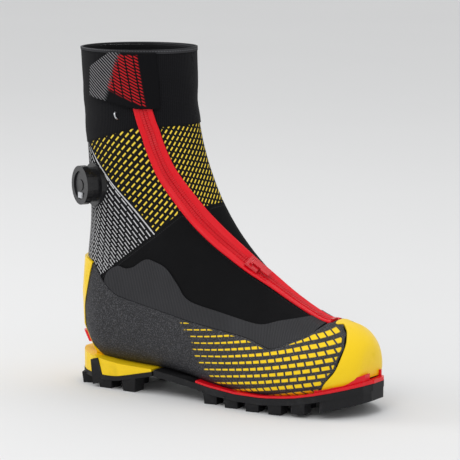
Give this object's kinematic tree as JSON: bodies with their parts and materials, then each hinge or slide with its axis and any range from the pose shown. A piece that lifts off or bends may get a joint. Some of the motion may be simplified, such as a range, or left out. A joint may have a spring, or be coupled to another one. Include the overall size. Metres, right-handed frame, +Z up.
{
  "type": "mountaineering boot",
  "caption": "Tall insulated mountaineering boot with a zipped gaiter, a rotary lace dial, a rubber rand and ledges for crampons.",
  "frame": {"origin": "middle of the boot's outline, on the floor it stands on", "axes": "+X towards the toe, -Y the outer (lateral) side of the right foot, +Z up"},
  "size_m": [0.3116, 0.1076, 0.3136],
  "materials": {
    "cuff_knit": "fine rib knit",
    "cuff_tape": "matte",
    "loop_tape": "napped",
    "strap_fabric": "black with red dashes",
    "dial_plastic": "satin",
    "dial_mark": "satin",
    "dial_metal": "satin",
    "dial_inner": "satin",
    "footbed_felt": "matte",
    "black_fabric": "matte",
    "red_tpu": "satin",
    "shell_fabric": "matte",
    "white_dash_knit": "black with white dashes",
    "yellow_dash_knit": "black with yellow dashes",
    "steel_cable": "satin",
    "guide_webbing": "matte",
    "lasting_board": "matte",
    "liner_fabric": "matte",
    "foam": "matte",
    "yellow_tpu": "satin",
    "outsole_rubber": "matte",
    "ribbed_overlay": "fine vertical ribs",
    "speckled_rand": "matte, speckled",
    "carbon_plate": "satin",
    "hook_tape": "matte",
    "keeper_metal": "satin",
    "tongue_fabric": "matte",
    "zip_hardware": "gloss",
    "zip_tape": "coated, satin",
    "zip_teeth": "satin"
  },
  "bodies": {
    "boot": {"cuff": "cuff_knit", "cuff_binding": "cuff_tape", "cuff_loop_patch": "loop_tape", "dial_base": "dial_plastic", "footbed": "footbed_felt", "gaiter_vamp": "black_fabric", "heel_welt": "red_tpu", "inner_shell": "shell_fabric", "knit_back": "white_dash_knit", "knit_front_lateral": "yellow_dash_knit", "knit_front_medial": "yellow_dash_knit", "lace_cable": "steel_cable", "lace_guide_1": "guide_webbing", "lace_guide_2": "guide_webbing", "lace_guide_3": "guide_webbing", "lace_guide_4": "guide_webbing", "lace_guide_5": "guide_webbing", "lasting_board": "lasting_board", "liner": "liner_fabric", "midsole_foam": "foam", "midsole_heel": "yellow_tpu", "outsole_forefoot": "outsole_rubber", "outsole_heel": "outsole_rubber", "overlay_lateral": "ribbed_overlay", "overlay_medial": "ribbed_overlay", "rand_lateral": "speckled_rand", "rand_medial": "speckled_rand", "shank": "carbon_plate", "strap_keeper": "keeper_metal", "toe_cap": "yellow_tpu", "toe_welt": "red_tpu", "tongue": "tongue_fabric", "zip_stop": "zip_hardware", "zip_tape_lateral": "zip_tape", "zip_tape_medial": "zip_tape", "zip_teeth": "zip_teeth"},
    "dial_spindle_body": {"dial_spindle": "dial_metal"},
    "dial_knob_body": {"dial_knob": "dial_plastic", "dial_mark": "dial_mark"},
    "dial_spool_body": {"dial_spool": "dial_inner"},
    "zip_slider_body": {"zip_slider": "zip_hardware"},
    "zip_puller_body": {"zip_puller": "zip_hardware"},
    "cuff_strap_body": {"cuff_strap": "strap_fabric", "strap_hook_patch": "hook_tape"}
  },
  "joints": [
    {"name": "dial_pull", "type": "slide", "parent": "boot", "child": "dial_spindle_body", "axis": [-0.5102, -0.8601, 0], "range_m": [0, 0.0035]},
    {"name": "dial_turn", "type": "hinge", "parent": "dial_spindle_body", "child": "dial_knob_body", "pos_m": [-0.12593, -0.0317, 0.18966], "axis": [-0.5102, -0.8601, 0], "continuous": true},
    {"name": "spool_turn", "type": "hinge", "parent": "boot", "child": "dial_spool_body", "pos_m": [-0.12593, -0.0317, 0.18966], "axis": [-0.5102, -0.8601, 0], "continuous": true},
    {"name": "zip_travel", "type": "hinge", "parent": "boot", "child": "zip_slider_body", "pos_m": [0.24874, 0.06765, 0.44113], "axis": [-0.2754, 0.9605, -0.0401], "range_deg": [-2, 2.4]},
    {"name": "zip_puller_swing", "type": "hinge", "parent": "zip_slider_body", "child": "zip_puller_body", "pos_m": [0.03335, -0.0113, 0.12898], "axis": [-0.0983, -0.8821, -0.4606], "range_deg": [0, 140]},
    {"name": "cuff_strap_open", "type": "hinge", "parent": "boot", "child": "cuff_strap_body", "pos_m": [-0.0562, -0.02949, 0.28635], "axis": [-0.0596, -0.0523, 0.9968], "range_deg": [0, 115]}
  ],
  "couplings": [
    {"joint": "spool_turn", "follows": "dial_turn", "ratio": 1}
  ]
}
